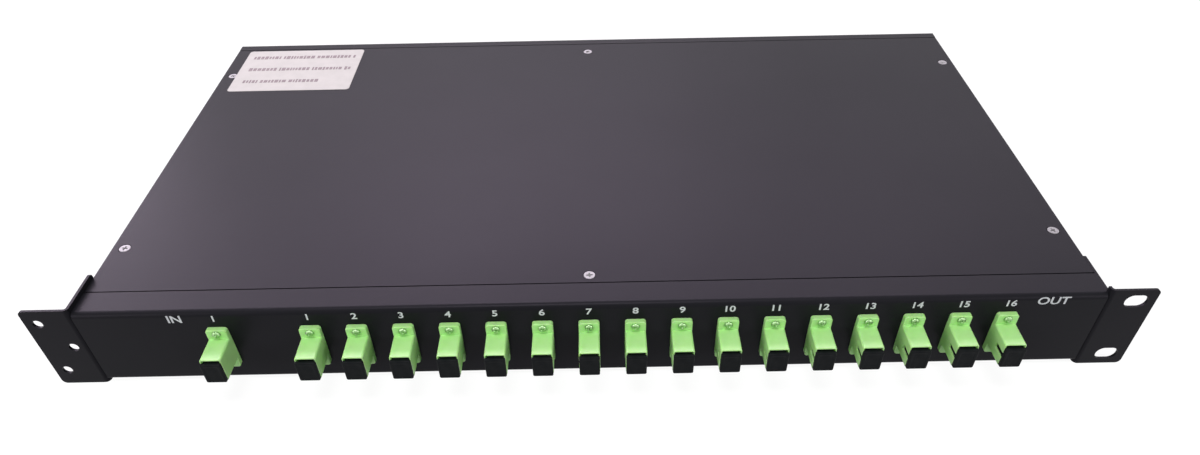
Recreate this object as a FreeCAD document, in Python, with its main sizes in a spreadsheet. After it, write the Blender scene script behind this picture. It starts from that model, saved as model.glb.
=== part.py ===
import FreeCAD, Part

import math
import os

import Sketcher
from FreeCAD import Rotation, Vector

# A rack-mount optical splitter box: a folded steel chassis 1U high with a screwed-down cover, two
# bent ears, and a row of 17 single-fibre SC/APC adapters (one input, sixteen outputs) with dust caps.
# X runs along the front from left to right, Y from front to back, Z upwards. The front face of the
# chassis is y = 0 in every sketch. Each sub-part is then moved by -rowOrigin in Y, so that the origin
# lies under the middle of the whole box, level with the lower edge of its ears.

OUTPUTS = 16

doc = FreeCAD.newDocument("FibreSplitter")

# ---------------------------------------------------------------- driving dimensions, in millimetres
DRIVING = {
    # chassis
    "panelWidth": 482.6,        # over both ears, the 19-inch rack standard
    "chassisWidth": 440.0,
    "chassisDepth": 250.0,
    "chassisLow": 2.0,          # underside, above the lower edge of the ears
    "chassisTop": 42.0,
    "sheet": 1.2,               # steel sheet of the chassis and cover
    "frontBend": 2.5,           # outer radius where the front folds into the top
    "foldRadius": 1.6,          # outer radius of the other long folds
    "frontLip": 14.2,           # depth of the fixed strip of top in front of the cover
    "rearLip": 6.8,
    "ledge": 16.0,              # depth of the stepped-down ledges that carry the cover's ends
    "ledgeRelief": 7.5,
    "sideFlange": 12.0,
    "coverGap": 0.6,
    "coverInset": 0.1,          # the cover stops this far short of the chassis sides
    # ears
    "earHeight": 44.4,
    "earPlate": 1.2,
    "earBend": 2.2,             # outer radius
    "longLeg": 27.0,            # leg with three holes where it lies on the chassis side
    "shortLeg": 24.4,           # leg with two slots where it lies on the chassis side
    "legNotch": 3.0,            # where the right leg's cut-down edges begin, behind the front face
    "earCorner": 2.2,
    "legCorner": 1.5,
    "slotWidth": 6.8,
    "slotLength": 9.8,
    "slotReach": 12.8,          # from the chassis side to the middle of a slot
    "slotLow": 6.25,
    "rackPitch": 31.75,         # between the slots of one ear
    "earHole": 4.4,
    "outerHoleReach": 15.6,     # from the chassis side to the two outer holes
    "middleHoleReach": 6.5,
    "earHoleLow": 8.6,
    "earHolePitch": 28.4,
    # adapters
    "portPitch": 20.0,
    "inputX": -160.5,
    "firstOutputX": -120.5,
    "portZ": 22.25,
    "bodyWide": 9.0,
    "bodyHigh": 12.4,
    "bodyCorner": 0.9,
    "bodyFront": 15.0,          # how far the adapter stands out of the panel
    "bodyRear": 13.4,
    "flangeHigh": 22.5,
    "flangeThick": 2.4,
    "flangeCorner": 1.3,
    "flangeHolePitch": 18.0,
    "flangeHole": 2.2,
    "cavityWide": 7.4,
    "cavityHigh": 9.2,
    "mouthWide": 7.9,           # shallow step round the mouth of the front socket
    "mouthHigh": 11.2,
    "mouthDeep": 1.4,
    "webFront": 1.6,            # the web between the two sockets reaches this far in front of the panel
    "webRear": 0.4,
    "barrel": 4.8,
    "barrelFront": 8.0,
    "barrelRear": 7.0,
    "sleeveOuter": 3.2,
    "sleeveInner": 2.5,
    "sleeveLength": 11.4,
    "keyHigh": 2.8,
    "keyLong": 6.6,
    "cutoutPlay": 0.1,
    # dust caps
    "capWide": 8.3,
    "capHigh": 10.2,
    "capDrop": 0.4,             # the head sits this far below the middle of its plug
    "capThick": 1.5,
    "capCorner": 0.7,
    "capPlay": 0.1,             # between the head of a cap and the rim of its adapter
    "plugWide": 7.1,
    "plugHigh": 8.9,
    "plugLong": 9.5,
    "plugBore": 5.4,
    "boreDeep": 8.0,
    # cover screws
    "screwSideX": 214.2,
    "screwFrontY": 44.8,
    "screwRearY": 209.6,
    "screwMidFrontY": 19.6,
    "screwMidRearY": 232.6,
    "coverScrew": 3.0,
    "coverScrewHead": 5.2,
    "coverSink": 5.8,
    "coverScrewLong": 6.0,
    # ear screws and washers
    "earScrew": 4.0,
    "earScrewHead": 6.8,
    "earScrewHeadHigh": 2.4,
    "earScrewReach": 6.0,       # how far the shank goes into the chassis
    "washerOuter": 9.0,
    "washerInner": 4.2,
    "washerThick": 1.0,
    # flange screws
    "flangeScrew": 2.0,
    "flangeScrewHead": 3.6,
    "flangeScrewHeadHigh": 1.1,
    "flangeScrewReach": 3.0,
    # label
    "labelLeft": -212.2,
    "labelRight": -140.6,
    "labelFront": 190.4,
    "labelRear": 241.0,
    "labelThick": 0.15,
    "labelCorner": 2.0,
    # inside
    "loopCentreY": 140.0,
    "loopHalf": 125.0,          # half the straight run of the fibre loop
    "loopRadius": 66.0,
    "loopThick": 6.0,
    "loopHigh": 8.0,
    "fibre": 0.9,
    "insideGap": 0.8,           # between pieces that end face to face
    "sleeveSetback": 1.8,       # the sleeve starts this far inside the front end of its barrel
    "ferruleReach": 1.0,        # the ferrule goes this far into its grip
    "gripGap": 0.3,
    "gripLong": 18.0,
    "bootEnd": 45.0,
    "bootBase": 5.6,
    "bootTip": 2.8,
    "clipWide": 8.0,
    "clipDeep": 10.0,
    "clipJaw": 2.0,
    "clipSpacing": 5,           # ports from one clip to the next
    "moduleLong": 80.0,
    "moduleDeep": 20.0,
    "moduleHigh": 6.0,
    "moduleCorner": 0.8,
    "holderLong": 50.0,
    "holderWall": 2.0,
    "holderFoot": 10.0,
    "holderLip": 1.0,           # the holder stops this far below the top of the module
    "ribbonWide": 4.2,
}
dim = doc.addObject("Spreadsheet::Sheet", "Dim")
for row, (alias, size) in enumerate(DRIVING.items(), start=1):
    dim.set(f"A{row}", alias)
    dim.set(f"B{row}", str(size))
    dim.setAlias(f"B{row}", alias)
doc.recompute()


def number(expression):
    """The present value of a sheet expression such as "Dim.sheet * 2"."""
    return float(dim.evalExpression(expression.replace("Dim.", "")))


# Half of the way from the dust caps' faces to the back: it centres the row's origin in depth.
ROW_ORIGIN = "(Dim.chassisDepth - Dim.bodyFront - Dim.capPlay - Dim.capThick) / 2"


# ---------------------------------------------------------------- sketch helpers
SKETCH_ORIGIN = (-1, 1)
START, END, CENTRE = 1, 2, 3


def bind(sketch, kind, first, second, expression):
    """Hold the distance between two points of a sketch at a sheet expression."""
    index = sketch.addConstraint(Sketcher.Constraint(kind, *first, *second, number(expression)))
    sketch.setExpression(f"Constraints[{index}]", expression)


def bind_radius(sketch, arc, expression):
    index = sketch.addConstraint(Sketcher.Constraint("Radius", arc, number(expression)))
    sketch.setExpression(f"Constraints[{index}]", expression)


def new_sketch(body, plane, name, lift=None):
    """A sketch on an origin plane of its own body, lifted along the plane's normal."""
    sketch = body.newObject("Sketcher::SketchObject", name)
    support = [feature for feature in body.Origin.OriginFeatures if feature.Role == plane][0]
    sketch.AttachmentSupport = [(support, "")]
    sketch.MapMode = "FlatFace"
    if lift:
        sketch.setExpression(".AttachmentOffset.Base.z", lift)
    return sketch


def add_outline(sketch, corners):
    """Closed outline of level and upright lines. A corner is (x, y) or (x, y, radius)."""
    count = len(corners)
    points = [Vector(number(corner[0]), number(corner[1]), 0) for corner in corners]
    radii = [number(corner[2]) if len(corner) == 3 else 0.0 for corner in corners]
    ways = [(points[(k + 1) % count] - points[k]).normalize() for k in range(count)]
    lines = []
    for k in range(count):
        start = points[k] + ways[k] * radii[k]
        end = points[(k + 1) % count] - ways[k] * radii[(k + 1) % count]
        lines.append(sketch.addGeometry(Part.LineSegment(start, end), False))
    for k in range(count):
        if len(corners[k]) == 2:
            sketch.addConstraint(Sketcher.Constraint("Coincident", lines[k - 1], END, lines[k], START))
            continue
        centre = points[k] + (ways[k] - ways[k - 1]) * radii[k]
        first = points[k] - ways[k - 1] * radii[k] - centre
        second = points[k] + ways[k] * radii[k] - centre
        left_turn = ways[k - 1].cross(ways[k]).z > 0
        if not left_turn:
            first, second = second, first
        circle = Part.Circle(centre, Vector(0, 0, 1), radii[k])
        angles = (math.atan2(first.y, first.x), math.atan2(second.y, second.x))
        arc = sketch.addGeometry(Part.ArcOfCircle(circle, *angles), False)
        arriving, leaving = (START, END) if left_turn else (END, START)
        sketch.addConstraint(Sketcher.Constraint("Tangent", lines[k - 1], END, arc, arriving))
        sketch.addConstraint(Sketcher.Constraint("Tangent", arc, leaving, lines[k], START))
        bind_radius(sketch, arc, corners[k][2])
    for k in range(count):
        level = abs(ways[k].y) < 0.5
        sketch.addConstraint(Sketcher.Constraint("Horizontal" if level else "Vertical", lines[k]))
        if level:
            bind(sketch, "DistanceY", SKETCH_ORIGIN, (lines[k], START), corners[k][1])
        else:
            bind(sketch, "DistanceX", SKETCH_ORIGIN, (lines[k], START), corners[k][0])


def add_rectangle(sketch, left, right, low, high, radius=None):
    corner = (radius,) if radius else ()
    places = [(left, low), (right, low), (right, high), (left, high)]
    add_outline(sketch, [place + corner for place in places])


def add_circle(sketch, x, y, radius):
    circle = Part.Circle(Vector(number(x), number(y), 0), Vector(0, 0, 1), number(radius))
    index = sketch.addGeometry(circle, False)
    bind(sketch, "DistanceX", SKETCH_ORIGIN, (index, CENTRE), x)
    bind(sketch, "DistanceY", SKETCH_ORIGIN, (index, CENTRE), y)
    bind_radius(sketch, index, radius)


def add_slot(sketch, x, y, length, width):
    """A level slot with round ends, centred on (x, y)."""
    reach = f"({length} - {width}) / 2"
    ends = []
    for side, turn in (("+", -math.pi / 2), ("-", math.pi / 2)):
        place = f"{x} {side} {reach}"
        circle = Part.Circle(Vector(number(place), number(y), 0), Vector(0, 0, 1), number(width) / 2)
        ends.append(sketch.addGeometry(Part.ArcOfCircle(circle, turn, turn + math.pi), False))
        bind(sketch, "DistanceX", SKETCH_ORIGIN, (ends[-1], CENTRE), place)
        bind(sketch, "DistanceY", SKETCH_ORIGIN, (ends[-1], CENTRE), y)
    right, left = ends
    bind_radius(sketch, right, f"{width} / 2")
    for first, second in ((right, left), (left, right)):
        line = Part.LineSegment(sketch.getPoint(first, END), sketch.getPoint(second, START))
        index = sketch.addGeometry(line, False)
        sketch.addConstraint(Sketcher.Constraint("Tangent", first, END, index, START))
        sketch.addConstraint(Sketcher.Constraint("Coincident", index, END, second, START))


# ---------------------------------------------------------------- feature helpers
def new_body(name, x="0", z="0"):
    body = doc.addObject("PartDesign::Body", name)
    body.Label = name
    body.setExpression(".Placement.Base.x", x)
    body.setExpression(".Placement.Base.y", f"-{ROW_ORIGIN}")
    body.setExpression(".Placement.Base.z", z)
    return body


def pad(body, sketch, length, reverse=False, both=False):
    feature = body.newObject("PartDesign::Pad", sketch.Name + "Pad")
    feature.Profile = sketch
    feature.setExpression("Length", length)
    feature.Reversed = reverse
    feature.SideType = "Symmetric" if both else "One side"
    body.Tip = feature
    return feature


def pocket(body, sketch, depth=None, reverse=False, both=False):
    """Cut a sketch to a depth, or through everything, and make sure that it removed material."""
    doc.recompute()
    before = body.Shape.Volume
    feature = body.newObject("PartDesign::Pocket", sketch.Name + "Pocket")
    feature.Profile = sketch
    if depth:
        feature.setExpression("Length", depth)
    else:
        feature.Type = "ThroughAll"
    feature.Reversed = reverse
    feature.SideType = "Symmetric" if both else "One side"
    body.Tip = feature
    doc.recompute()
    if body.Shape.Volume > before - 1e-6:
        raise RuntimeError(f"{feature.Name} cuts nothing")
    return feature


def group(name, members):
    """Separate solids of one kind kept together as one sub-part."""
    compound = doc.addObject("Part::Compound", name)
    compound.Label = name
    compound.Links = members
    compound.setExpression(".Placement.Base.y", f"-{ROW_ORIGIN}")
    return compound


def cylinder(name, radius, height, place, direction):
    """A primitive whose foot is at place (three expressions) and which points along direction."""
    solid = doc.addObject("Part::Cylinder", name)
    solid.setExpression("Radius", radius)
    solid.setExpression("Height", height)
    solid.Placement.Rotation = Rotation(UP, direction)
    for axis, expression in zip("xyz", place):
        solid.setExpression(f".Placement.Base.{axis}", expression)
    return solid


def block(name, size, place):
    solid = doc.addObject("Part::Box", name)
    for edge, expression in zip(("Length", "Width", "Height"), size):
        solid.setExpression(edge, expression)
    for axis, expression in zip("xyz", place):
        solid.setExpression(f".Placement.Base.{axis}", expression)
    return solid


def fuse(name, members):
    joined = doc.addObject("Part::MultiFuse", name)
    joined.Shapes = members
    return joined


# ---------------------------------------------------------------- where things are
PORTS = {"in": "Dim.inputX"}
for index in range(OUTPUTS):
    PORTS[f"{index + 1:02d}"] = f"(Dim.firstOutputX + {index} * Dim.portPitch)"

COVER_SCREWS = [
    ("-Dim.screwSideX", "Dim.screwFrontY"), ("0", "Dim.screwMidFrontY"),
    ("Dim.screwSideX", "Dim.screwFrontY"), ("-Dim.screwSideX", "Dim.screwRearY"),
    ("0", "Dim.screwMidRearY"), ("Dim.screwSideX", "Dim.screwRearY"),
]
EAR_HOLES = [
    ("Dim.outerHoleReach", "Dim.earHoleLow"),
    ("Dim.middleHoleReach", "Dim.earHoleLow + Dim.earHolePitch / 2"),
    ("Dim.outerHoleReach", "Dim.earHoleLow + Dim.earHolePitch"),
]
EAR_SLOTS = [
    ("Dim.slotReach", "Dim.slotLow"),
    ("Dim.slotReach", "Dim.slotLow + Dim.rackPitch"),
]
HALF = "Dim.chassisWidth / 2"
FLOOR = "Dim.chassisLow + Dim.sheet"
UP, BACK, FORWARD = Vector(0, 0, 1), Vector(0, 1, 0), Vector(0, -1, 0)
LEFT, RIGHT = Vector(-1, 0, 0), Vector(1, 0, 0)


# ---------------------------------------------------------------- chassis and cover
def make_chassis():
    """Floor, front, back and the stepped top lips are one folded strip; the sides close it."""
    body = new_body("chassis_tray")
    lip_low = "Dim.chassisTop - Dim.sheet"
    step_low = "Dim.chassisTop - 2 * Dim.sheet"
    back = "Dim.chassisDepth"
    inner_back = "Dim.chassisDepth - Dim.sheet"
    rear_edge = "Dim.chassisDepth - Dim.rearLip"
    strip = new_sketch(body, "YZ_Plane", "foldedStrip")
    add_outline(strip, [
        ("0", "Dim.chassisLow", "Dim.foldRadius"),
        (back, "Dim.chassisLow", "Dim.foldRadius"),
        (back, "Dim.chassisTop", "Dim.foldRadius"),
        (rear_edge, "Dim.chassisTop"),
        (rear_edge, lip_low),
        (f"{rear_edge} - Dim.ledge", lip_low),
        (f"{rear_edge} - Dim.ledge", step_low),
        (f"{rear_edge} + Dim.sheet", step_low),
        (f"{rear_edge} + Dim.sheet", lip_low),
        (inner_back, lip_low, "Dim.foldRadius - Dim.sheet"),
        (inner_back, FLOOR, "Dim.foldRadius - Dim.sheet"),
        ("Dim.sheet", FLOOR, "Dim.foldRadius - Dim.sheet"),
        ("Dim.sheet", lip_low, "Dim.frontBend - Dim.sheet"),
        ("Dim.frontLip - Dim.sheet", lip_low),
        ("Dim.frontLip - Dim.sheet", step_low),
        ("Dim.frontLip + Dim.ledge", step_low),
        ("Dim.frontLip + Dim.ledge", lip_low),
        ("Dim.frontLip", lip_low),
        ("Dim.frontLip", "Dim.chassisTop"),
        ("0", "Dim.chassisTop", "Dim.frontBend"),
    ])
    pad(body, strip, "Dim.chassisWidth", both=True)

    for side, sign in (("left", "-"), ("right", "")):
        wall = new_sketch(body, "YZ_Plane", f"{side}Wall", f"{sign}({HALF})")
        add_rectangle(wall, "Dim.sheet / 2", f"{back} - Dim.sheet / 2", "Dim.chassisLow + Dim.sheet / 2",
                      lip_low)
        pad(body, wall, "Dim.sheet", reverse=side == "right")
        flange = new_sketch(body, "XY_Plane", f"{side}Flange", lip_low)
        edges = sorted((f"{sign}({HALF})", f"{sign}({HALF} - Dim.sideFlange)"), key=number)
        add_rectangle(flange, *edges, "Dim.frontLip + Dim.ledge + Dim.coverGap",
                      f"{rear_edge} - Dim.ledge - Dim.coverGap")
        pad(body, flange, "Dim.sheet", reverse=True)

    cut_ledge_reliefs(body)
    cut_tapped_holes(body)
    cut_port_openings(body)
    cut_ear_fixings(body)


def cut_ledge_reliefs(body):
    """Shorten the ledges at their ends, where the folds and the ears' screws need room."""
    reliefs = new_sketch(body, "XY_Plane", "ledgeReliefs", "Dim.chassisTop - 2 * Dim.sheet")
    rear_edge = "Dim.chassisDepth - Dim.rearLip"
    near = ("Dim.frontLip - Dim.sheet", "Dim.frontLip + Dim.ledge + Dim.coverGap / 2")
    far = (f"{rear_edge} - Dim.ledge - Dim.coverGap / 2", f"{rear_edge} + Dim.sheet")
    for low, high in (near, far):
        add_rectangle(reliefs, f"-({HALF} - Dim.sheet)", f"-({HALF} - Dim.ledgeRelief)", low, high)
        add_rectangle(reliefs, f"{HALF} - Dim.ledgeRelief", f"{HALF} - Dim.sheet", low, high)
    pocket(body, reliefs, "Dim.sheet", reverse=True)


def cut_tapped_holes(body):
    holes = new_sketch(body, "XY_Plane", "coverFixings", "Dim.chassisTop")
    for x, y in COVER_SCREWS:
        add_circle(holes, x, y, "Dim.coverScrew / 2 + Dim.cutoutPlay / 2")
    pocket(body, holes, "3 * Dim.sheet")


def cut_port_openings(body):
    """The same opening and screw holes for the input and, patterned at the pitch, the outputs."""
    for name, x in (("inputPort", "Dim.inputX"), ("outputPort", "Dim.firstOutputX")):
        sketch = new_sketch(body, "XZ_Plane", name)
        half_wide = "(Dim.bodyWide / 2 + Dim.cutoutPlay)"
        half_high = "(Dim.bodyHigh / 2 + Dim.cutoutPlay)"
        add_rectangle(sketch, f"{x} - {half_wide}", f"{x} + {half_wide}",
                      f"Dim.portZ - {half_high}", f"Dim.portZ + {half_high}")
        for sign in "-+":
            add_circle(sketch, x, f"Dim.portZ {sign} Dim.flangeHolePitch / 2", "Dim.flangeHole / 2")
        feature = pocket(body, sketch, "2 * Dim.sheet")
    row = body.newObject("PartDesign::LinearPattern", "outputRow")
    row.Originals = [feature]
    row.Direction = (sketch, ["H_Axis"])
    row.Occurrences = OUTPUTS
    row.setExpression("Length", f"{OUTPUTS - 1} * Dim.portPitch")
    body.Tip = row


def cut_ear_fixings(body):
    """Screw holes for the ears: behind the three holes on the right, behind the slots on the left."""
    for side, places, lift in (("right", EAR_HOLES, HALF), ("left", EAR_SLOTS, f"-{HALF}")):
        sketch = new_sketch(body, "YZ_Plane", f"{side}Fixings", lift)
        for y, z in places:
            add_circle(sketch, y, z, "Dim.earScrew / 2 + Dim.cutoutPlay / 2")
        pocket(body, sketch, "2 * Dim.sheet", reverse=side == "left")


def make_cover():
    body = new_body("top_cover")
    edge = f"{HALF} - Dim.coverInset"
    plate = new_sketch(body, "XY_Plane", "coverPlate", "Dim.chassisTop - Dim.sheet")
    add_rectangle(plate, f"-({edge})", edge, "Dim.frontLip + Dim.coverGap",
                  "Dim.chassisDepth - Dim.rearLip - Dim.coverGap", "Dim.coverGap")
    pad(body, plate, "Dim.sheet")
    doc.recompute()
    holes = new_sketch(body, "XY_Plane", "coverHoles", "Dim.chassisTop")
    for x, y in COVER_SCREWS:
        add_circle(holes, x, y, "Dim.coverScrew / 2")
    doc.recompute()
    sunk = body.newObject("PartDesign::Hole", "sunkHoles")
    sunk.Profile = holes
    sunk.DepthType = "ThroughAll"
    sunk.HoleCutType = "Countersink"
    sunk.HoleCutCustomValues = True
    sunk.HoleCutCountersinkAngle = 90
    sunk.setExpression("Diameter", "Dim.coverScrew + 2 * Dim.cutoutPlay")
    sunk.setExpression("HoleCutDiameter", "Dim.coverSink")
    body.Tip = sunk


def make_label():
    body = new_body("cover_label", z="Dim.chassisTop")
    outline = new_sketch(body, "XY_Plane", "labelOutline")
    add_rectangle(outline, "Dim.labelLeft", "Dim.labelRight", "Dim.labelFront", "Dim.labelRear",
                  "Dim.labelCorner")
    pad(body, outline, "Dim.labelThick")


# ---------------------------------------------------------------- ears
def make_ear(name, side, front_places, front_slotted, side_places, leg, cut_down):
    """An L of thin plate. One leg is the ear, the other lies on the side of the chassis."""
    body = new_body(name)
    sign = {"left": "-", "right": ""}[side]
    inner = f"{sign}({HALF})"
    outer = f"{sign}({HALF} + Dim.earPlate)"
    tip = f"{sign}Dim.panelWidth / 2"
    section = new_sketch(body, "XY_Plane", f"{side}Section")
    corners = [
        (tip, "0"), (inner, "0", "Dim.earBend"), (inner, leg),
        (outer, leg), (outer, "Dim.earPlate", "Dim.earBend - Dim.earPlate"), (tip, "Dim.earPlate"),
    ]
    add_outline(section, corners)
    pad(body, section, "Dim.earHeight")

    front = new_sketch(body, "XZ_Plane", f"{side}EarHoles")
    flank = new_sketch(body, "YZ_Plane", f"{side}LegHoles", outer)
    for x, z in front_places:
        place = f"{sign}({HALF} + {x})"
        if front_slotted:
            add_slot(front, place, z, "Dim.slotLength", "Dim.slotWidth")
        else:
            add_circle(front, place, z, "Dim.earHole / 2")
    pocket(body, front, "2 * Dim.earPlate")
    for y, z in side_places:
        if front_slotted:
            add_circle(flank, y, z, "Dim.earHole / 2")
        else:
            add_slot(flank, y, z, "Dim.slotLength", "Dim.slotWidth")
    pocket(body, flank, "2 * Dim.earPlate", reverse=side == "left")
    if cut_down:
        level = new_sketch(body, "YZ_Plane", f"{side}LegLevel", outer)
        add_rectangle(level, "Dim.legNotch", f"{leg} + Dim.earPlate", "-Dim.earPlate", "Dim.chassisLow")
        add_rectangle(level, "Dim.legNotch", f"{leg} + Dim.earPlate", "Dim.chassisTop",
                      "Dim.earHeight + Dim.earPlate")
        pocket(body, level, "2 * Dim.earPlate", reverse=side == "left")

    round_ends(body, f"{name}EarCorners", "Dim.earCorner", "x", number(tip))
    round_ends(body, f"{name}LegCorners", "Dim.legCorner", "y", number(leg))


def round_ends(body, name, radius, axis, end):
    """Round the two edges that run through the thickness of the plate at the end of a leg."""
    doc.recompute()
    base = body.Tip
    edges = []
    for index, edge in enumerate(base.Shape.Edges, start=1):
        ends = [vertex.Point for vertex in edge.Vertexes]
        at_end = all(abs(getattr(point, axis) - end) < 0.01 for point in ends)
        if at_end and abs(ends[0].z - ends[-1].z) < 0.01:
            edges.append(f"Edge{index}")
    rounded = body.newObject("PartDesign::Fillet", name)
    rounded.Base = (base, edges)
    rounded.setExpression("Radius", radius)
    body.Tip = rounded


# ---------------------------------------------------------------- adapters and dust caps
def make_adapter(name, x):
    """Flanged housing with a socket each side of a web, and a barrel for the alignment sleeve."""
    body = new_body(name, x, "Dim.portZ")
    housing = new_sketch(body, "XZ_Plane", f"{name}Housing", "Dim.bodyFront")
    add_rectangle(housing, "-Dim.bodyWide / 2", "Dim.bodyWide / 2", "-Dim.bodyHigh / 2", "Dim.bodyHigh / 2",
                  "Dim.bodyCorner")
    pad(body, housing, "Dim.bodyFront + Dim.bodyRear", reverse=True)

    flange = new_sketch(body, "XZ_Plane", f"{name}Flange")
    add_rectangle(flange, "-Dim.bodyWide / 2", "Dim.bodyWide / 2", "-Dim.flangeHigh / 2",
                  "Dim.flangeHigh / 2", "Dim.flangeCorner")
    for sign in "-+":
        add_circle(flange, "0", f"{sign}Dim.flangeHolePitch / 2", "Dim.flangeHole / 2")
    pad(body, flange, "Dim.flangeThick")

    for end, lift, depth, inwards in (("Front", "Dim.bodyFront", "Dim.bodyFront - Dim.webFront", False),
                                      ("Rear", "-Dim.bodyRear", "Dim.bodyRear - Dim.webRear", True)):
        socket = new_sketch(body, "XZ_Plane", f"{name}{end}Socket", lift)
        add_rectangle(socket, "-Dim.cavityWide / 2", "Dim.cavityWide / 2", "-Dim.cavityHigh / 2",
                      "Dim.cavityHigh / 2")
        pocket(body, socket, depth, reverse=inwards)
        key = new_sketch(body, "XZ_Plane", f"{name}{end}Key", lift)
        add_rectangle(key, "-Dim.bodyWide / 2 - Dim.cutoutPlay", "0", "-Dim.keyHigh / 2", "Dim.keyHigh / 2")
        pocket(body, key, "Dim.keyLong", reverse=inwards)
    mouth = new_sketch(body, "XZ_Plane", f"{name}Mouth", "Dim.bodyFront")
    add_rectangle(mouth, "-Dim.mouthWide / 2", "Dim.mouthWide / 2", "-Dim.mouthHigh / 2",
                  "Dim.mouthHigh / 2")
    pocket(body, mouth, "Dim.mouthDeep")

    barrel = new_sketch(body, "XZ_Plane", f"{name}Barrel", "Dim.barrelFront")
    add_circle(barrel, "0", "0", "Dim.barrel / 2")
    pad(body, barrel, "Dim.barrelFront + Dim.barrelRear", reverse=True)
    bore = new_sketch(body, "XZ_Plane", f"{name}Bore", "Dim.barrelFront")
    add_circle(bore, "0", "0", "Dim.sleeveOuter / 2")
    pocket(body, bore)


def make_cap(name, x):
    """A head that covers the mouth of the adapter, and a plug, bored out to clear the barrel."""
    body = new_body(name, x, "Dim.portZ")
    rim = "Dim.bodyFront + Dim.capPlay"
    head = new_sketch(body, "XZ_Plane", f"{name}Head", rim)
    add_rectangle(head, "-Dim.capWide / 2", "Dim.capWide / 2", "-Dim.capHigh / 2 - Dim.capDrop",
                  "Dim.capHigh / 2 - Dim.capDrop", "Dim.capCorner")
    pad(body, head, "Dim.capThick")
    plug = new_sketch(body, "XZ_Plane", f"{name}Plug", f"{rim} - Dim.plugLong")
    add_rectangle(plug, "-Dim.plugWide / 2", "Dim.plugWide / 2", "-Dim.plugHigh / 2",
                  "Dim.plugHigh / 2")
    pad(body, plug, "Dim.plugLong")
    bore = new_sketch(body, "XZ_Plane", f"{name}Bore", f"{rim} - Dim.plugLong")
    add_circle(bore, "0", "0", "Dim.plugBore / 2")
    pocket(body, bore, "Dim.boreDeep", reverse=True)


# ---------------------------------------------------------------- fasteners
def make_cover_screws():
    """Countersunk screws: a cone that fills the sunk hole and a plain shank below it."""
    sink = "(Dim.coverScrewHead - Dim.coverScrew) / 2"
    screws = []
    for index, (x, y) in enumerate(COVER_SCREWS):
        head = doc.addObject("Part::Cone", f"coverScrewHead{index}")
        head.setExpression("Radius1", "Dim.coverScrew / 2")
        head.setExpression("Radius2", "Dim.coverScrewHead / 2")
        head.setExpression("Height", sink)
        for axis, expression in zip("xyz", (x, y, f"Dim.chassisTop - {sink}")):
            head.setExpression(f".Placement.Base.{axis}", expression)
        shank = cylinder(f"coverScrewShank{index}", "Dim.coverScrew / 2", f"Dim.coverScrewLong - {sink}",
                         (x, y, "Dim.chassisTop - Dim.coverScrewLong"), UP)
        screws.append(fuse(f"coverScrew{index}", [head, shank]))
    group("cover_screws", screws)


def make_ear_screws():
    """Pan-head screws through the ears' side legs; the slots of the left one also take washers."""
    screws = []
    for side, places in (("right", EAR_HOLES), ("left", EAR_SLOTS)):
        sign, outwards, washer = ("", RIGHT, "0") if side == "right" else ("-", LEFT, "Dim.washerThick")
        leg_face = f"{sign}({HALF} + Dim.earPlate)"
        for index, (y, z) in enumerate(places):
            foot = (f"{sign}({HALF} - Dim.earScrewReach)", y, z)
            seat = (f"{sign}({HALF} + Dim.earPlate + {washer})", y, z)
            shank = cylinder(f"{side}EarShank{index}", "Dim.earScrew / 2",
                             f"Dim.earScrewReach + Dim.earPlate + {washer} + Dim.earScrewHeadHigh / 2",
                             foot, outwards)
            head = cylinder(f"{side}EarHead{index}", "Dim.earScrewHead / 2", "Dim.earScrewHeadHigh",
                            seat, outwards)
            screws.append(fuse(f"{side}EarScrew{index}", [shank, head]))
            if side == "left":
                ring = doc.addObject("Part::Cut", f"earWasher{index}")
                ring.Base, ring.Tool = [
                    cylinder(f"washer{part}{index}", radius, washer, (leg_face, y, z), outwards)
                    for part, radius in (("Disc", "Dim.washerOuter / 2"), ("Hole", "Dim.washerInner / 2"))
                ]
                screws.append(ring)
    group("ear_screws", screws)


def make_adapter_screws():
    """Two small pan-head screws hold each adapter's flange to the panel."""
    screws = []
    for port, x in PORTS.items():
        for level, sign in (("Low", "-"), ("High", "+")):
            z = f"Dim.portZ {sign} Dim.flangeHolePitch / 2"
            head = cylinder(f"flangeHead{level}_{port}", "Dim.flangeScrewHead / 2",
                            "Dim.flangeScrewHeadHigh", (x, "-Dim.flangeThick", z), FORWARD)
            shank = cylinder(f"flangeShank{level}_{port}", "Dim.flangeScrew / 2",
                             "Dim.flangeScrewReach + Dim.flangeThick + Dim.flangeScrewHeadHigh / 2",
                             (x, "Dim.flangeScrewReach", z), FORWARD)
            screws.append(fuse(f"flangeScrew{level}_{port}", [head, shank]))
    group("adapter_screws", screws)


# ---------------------------------------------------------------- inside
def make_sleeves():
    """A ceramic tube in the barrel of every adapter."""
    sleeves = []
    for port, x in PORTS.items():
        foot = (x, "Dim.sleeveSetback - Dim.barrelFront", "Dim.portZ")
        tube = doc.addObject("Part::Cut", f"sleeve_{port}")
        tube.Base, tube.Tool = [
            cylinder(f"sleeve{part}_{port}", radius, "Dim.sleeveLength", foot, BACK)
            for part, radius in (("Out", "Dim.sleeveOuter / 2"), ("In", "Dim.sleeveInner / 2"))
        ]
        sleeves.append(tube)
    group("alignment_sleeves", sleeves)


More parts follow.
